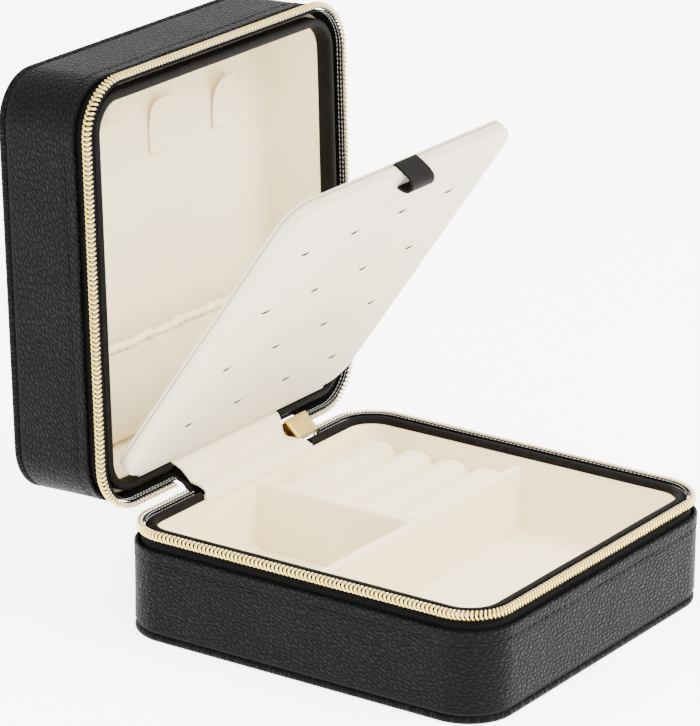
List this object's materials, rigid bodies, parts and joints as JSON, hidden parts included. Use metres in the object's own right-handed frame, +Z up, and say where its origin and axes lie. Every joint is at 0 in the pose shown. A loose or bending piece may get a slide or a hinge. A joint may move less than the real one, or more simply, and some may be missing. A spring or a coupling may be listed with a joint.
{
  "type": "jewellery case",
  "caption": "Square zip-round travel jewellery case in pebbled leather, with a hinged lid, folding earring panel, ring rolls, necklace hooks and a gathered pocket.",
  "frame": {"origin": "middle of the face that the base rests on", "axes": "+Z up out of the open base, +X along the lid's hinge, -Y out of the front, away from the hinge"},
  "size_m": [0.13, 0.1718, 0.1651],
  "materials": {
    "leather": "black pebble-grain artificial leather, semi-matt",
    "tape": "black woven zip tape",
    "zip_gold": "gold metallised nylon coil",
    "brass": "polished gold plating",
    "velvet": "cream short-pile velvet",
    "board": "plain grey-brown card",
    "foam": "soft off-white foam sheet"
  },
  "bodies": {
    "base": {"base_side_cover": "leather", "base_bottom_cover": "leather", "base_inner_band": "leather", "base_hinge_spine": "leather", "base_zip_tape": "tape", "base_zip_teeth": "zip_gold", "base_lining_wall": "velvet", "base_lining_floor": "velvet", "base_hinge_lining": "velvet", "divider_long": "velvet", "divider_short": "velvet", "ring_roll_1": "velvet", "ring_roll_2": "velvet", "ring_roll_3": "velvet", "ring_roll_4": "velvet", "base_bottom_board": "board", "base_side_board": "board"},
    "lid": {"lid_side_cover": "leather", "lid_top_cover": "leather", "lid_inner_band": "leather", "lid_hinge_spine": "leather", "lid_zip_tape": "tape", "lid_zip_teeth": "zip_gold", "lid_lining_wall": "velvet", "lid_lining_back": "velvet", "lid_hinge_lining": "velvet", "necklace_hook_1": "velvet", "necklace_hook_2": "velvet", "necklace_hook_3": "velvet", "lid_pocket": "velvet", "lid_pocket_elastic": "velvet", "lid_side_board": "board", "lid_top_board": "board", "lid_top_pad": "foam"},
    "panel": {"panel_pull_tab": "leather", "panel_front_cover": "velvet", "panel_back_cover": "velvet", "panel_hinge_fold": "velvet", "panel_board": "board"},
    "slider": {"slider_body": "brass", "slider_bridge": "brass"},
    "slider_pull": {"slider_pull": "brass"}
  },
  "joints": [
    {"name": "lid_hinge", "type": "hinge", "parent": "base", "child": "lid", "pos_m": [0, 0.0655, 0.035], "axis": [-1, 0, 0], "range_deg": [-92.4, 5]},
    {"name": "panel_hinge", "type": "hinge", "parent": "lid", "child": "panel", "pos_m": [0, 0.06784, 0.04301], "axis": [-1, 0, 0], "range_deg": [-2, 36.6]},
    {"name": "slider_turn", "type": "hinge", "parent": "base", "child": "slider", "pos_m": [0.0306, 0.0655, 0.035], "axis": [-1, 0, 0], "range_deg": [-46.2, 2.5]},
    {"name": "pull_swing", "type": "hinge", "parent": "slider", "child": "slider_pull", "pos_m": [0.0307, 0.0673, 0.03312], "axis": [-1, 0, 0], "range_deg": [-85, 1]}
  ],
  "couplings": [
    {"joint": "panel_hinge", "follows": "lid_hinge", "ratio": -0.396},
    {"joint": "slider_turn", "follows": "lid_hinge", "ratio": 0.5}
  ]
}
